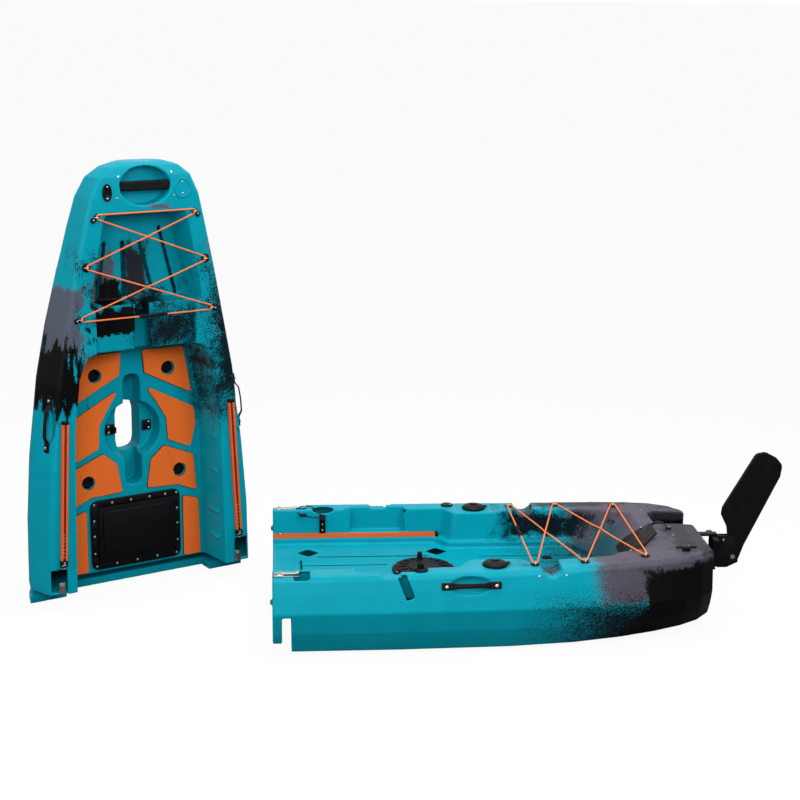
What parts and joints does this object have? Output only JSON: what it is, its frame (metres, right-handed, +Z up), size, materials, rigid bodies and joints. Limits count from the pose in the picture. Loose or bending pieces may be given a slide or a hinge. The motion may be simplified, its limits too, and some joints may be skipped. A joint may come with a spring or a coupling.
{
  "type": "modular kayak",
  "caption": "Sit-on-top pedal kayak in separate bow and stern sections with hook joint, hatches, gear tracks, shock cord and lifting rudder.",
  "frame": {"origin": "on the floor, at the middle of the rectangle that both sections cover", "axes": "+X along the stern section towards its rudder, +Y to its starboard side, +Z up; the bow section stands on its joint end at -X"},
  "size_m": [2.8454, 1.1268, 1.666],
  "materials": {
    "hull_polyethylene": "rotomoulded polyethylene, marbled teal and grey-black, fine pebble texture",
    "black_nylon": "moulded black nylon, satin",
    "orange_foam": "closed-cell foam deck pad, matt",
    "orange_anodised": "extruded aluminium, orange anodised, satin",
    "stainless_steel": "pressed stainless steel, polished",
    "shock_cord": "braided elastic cord, orange"
  },
  "bodies": {
    "stern_section": {"aft_cover_plate": "black_nylon", "latch_base_port": "stainless_steel", "latch_base_starboard": "stainless_steel", "paddle_bracket": "black_nylon", "rod_holder_port": "black_nylon", "rod_holder_starboard": "black_nylon", "rudder_bracket": "black_nylon", "steering_base": "black_nylon", "stern_carry_handle_port": "black_nylon", "stern_carry_handle_starboard": "black_nylon", "stern_cleat": "black_nylon", "stern_gear_track_port": "orange_anodised", "stern_gear_track_starboard": "orange_anodised", "stern_hatch_ring": "black_nylon", "stern_hull": "hull_polyethylene", "stern_pad_eye_aft_port": "black_nylon", "stern_pad_eye_aft_starboard": "black_nylon", "stern_pad_eye_fore_port": "black_nylon", "stern_pad_eye_fore_starboard": "black_nylon", "stern_pad_eye_mid_port": "black_nylon", "stern_pad_eye_mid_starboard": "black_nylon", "stern_shock_cord": "shock_cord", "stern_strap_handle": "black_nylon"},
    "bow_section": {"bow_carry_handle_port": "black_nylon", "bow_carry_handle_starboard": "black_nylon", "bow_drain_fitting": "black_nylon", "bow_gear_track_port": "orange_anodised", "bow_gear_track_starboard": "orange_anodised", "bow_grab_bar": "black_nylon", "bow_hatch_frame": "black_nylon", "bow_hull": "hull_polyethylene", "bow_pad_eye_low_port": "black_nylon", "bow_pad_eye_low_starboard": "black_nylon", "bow_pad_eye_mid_port": "black_nylon", "bow_pad_eye_mid_starboard": "black_nylon", "bow_pad_eye_top_port": "black_nylon", "bow_pad_eye_top_starboard": "black_nylon", "bow_shock_cord": "shock_cord", "drive_clip_port": "black_nylon", "drive_clip_starboard": "black_nylon", "floor_pad_aft_port": "orange_foam", "floor_pad_aft_starboard": "orange_foam", "floor_pad_fore_port": "orange_foam", "floor_pad_fore_starboard": "orange_foam", "floor_pad_mid_port": "orange_foam", "floor_pad_mid_starboard": "orange_foam", "floor_pad_side_port": "orange_foam", "floor_pad_side_starboard": "orange_foam", "latch_keeper_port": "stainless_steel", "latch_keeper_starboard": "stainless_steel"},
    "bow_hatch_lid": {"bow_hatch_lid": "black_nylon"},
    "stern_hatch_lid": {"stern_hatch_lid": "black_nylon"},
    "rod_holder_lid_port": {"rod_holder_lid_port": "black_nylon"},
    "rod_holder_lid_starboard": {"rod_holder_lid_starboard": "black_nylon"},
    "latch_lever_port": {"latch_lever_port": "stainless_steel"},
    "latch_lever_starboard": {"latch_lever_starboard": "stainless_steel"},
    "rudder_head": {"rudder_head": "black_nylon", "blade_bolt": "stainless_steel"},
    "rudder_blade": {"rudder_blade": "black_nylon"},
    "steering_lever": {"steering_lever": "black_nylon"}
  },
  "joints": [
    {"name": "bow_lift", "type": "slide", "parent": "stern_section", "child": "bow_section", "axis": [0, 0, 1], "range_m": [0, 0.3]},
    {"name": "bow_hatch_hinge", "type": "hinge", "parent": "bow_section", "child": "bow_hatch_lid", "pos_m": [-1.01627, 0.26316, 0.33], "axis": [-0.8829, -0.4695, 0], "range_deg": [0, 110]},
    {"name": "stern_hatch_twist", "type": "hinge", "parent": "stern_section", "child": "stern_hatch_lid", "pos_m": [0.07728, -0.11141, 0.1806], "axis": [0, 0, 1], "range_deg": [0, 75]},
    {"name": "rod_lid_twist_port", "type": "hinge", "parent": "stern_section", "child": "rod_holder_lid_port", "pos_m": [0.30128, -0.43641, 0.31048], "axis": [0, 0, 1], "range_deg": [0, 90]},
    {"name": "rod_lid_twist_starboard", "type": "hinge", "parent": "stern_section", "child": "rod_holder_lid_starboard", "pos_m": [0.30128, 0.21359, 0.31048], "axis": [0, 0, 1], "range_deg": [0, 90]},
    {"name": "latch_pivot_port", "type": "hinge", "parent": "stern_section", "child": "latch_lever_port", "pos_m": [-0.46072, -0.47691, 0.3005], "axis": [0, -1, 0], "range_deg": [0, 120]},
    {"name": "latch_pivot_starboard", "type": "hinge", "parent": "stern_section", "child": "latch_lever_starboard", "pos_m": [-0.46072, 0.25409, 0.3005], "axis": [0, -1, 0], "range_deg": [0, 120]},
    {"name": "rudder_steer", "type": "hinge", "parent": "stern_section", "child": "rudder_head", "pos_m": [1.17528, -0.11141, 0.1683], "axis": [0, 0, 1], "range_deg": [-35, 35]},
    {"name": "blade_lift", "type": "hinge", "parent": "rudder_head", "child": "rudder_blade", "pos_m": [1.25128, -0.11141, 0.212], "axis": [0, 1, 0], "range_deg": [0, 150]},
    {"name": "steering_lever_turn", "type": "hinge", "parent": "stern_section", "child": "steering_lever", "pos_m": [0.03328, -0.47341, 0.31433], "axis": [0, 0, 1], "range_deg": [-45, 45]}
  ],
  "couplings": [
    {"joint": "steering_lever_turn", "follows": "rudder_steer", "ratio": 1.2}
  ]
}
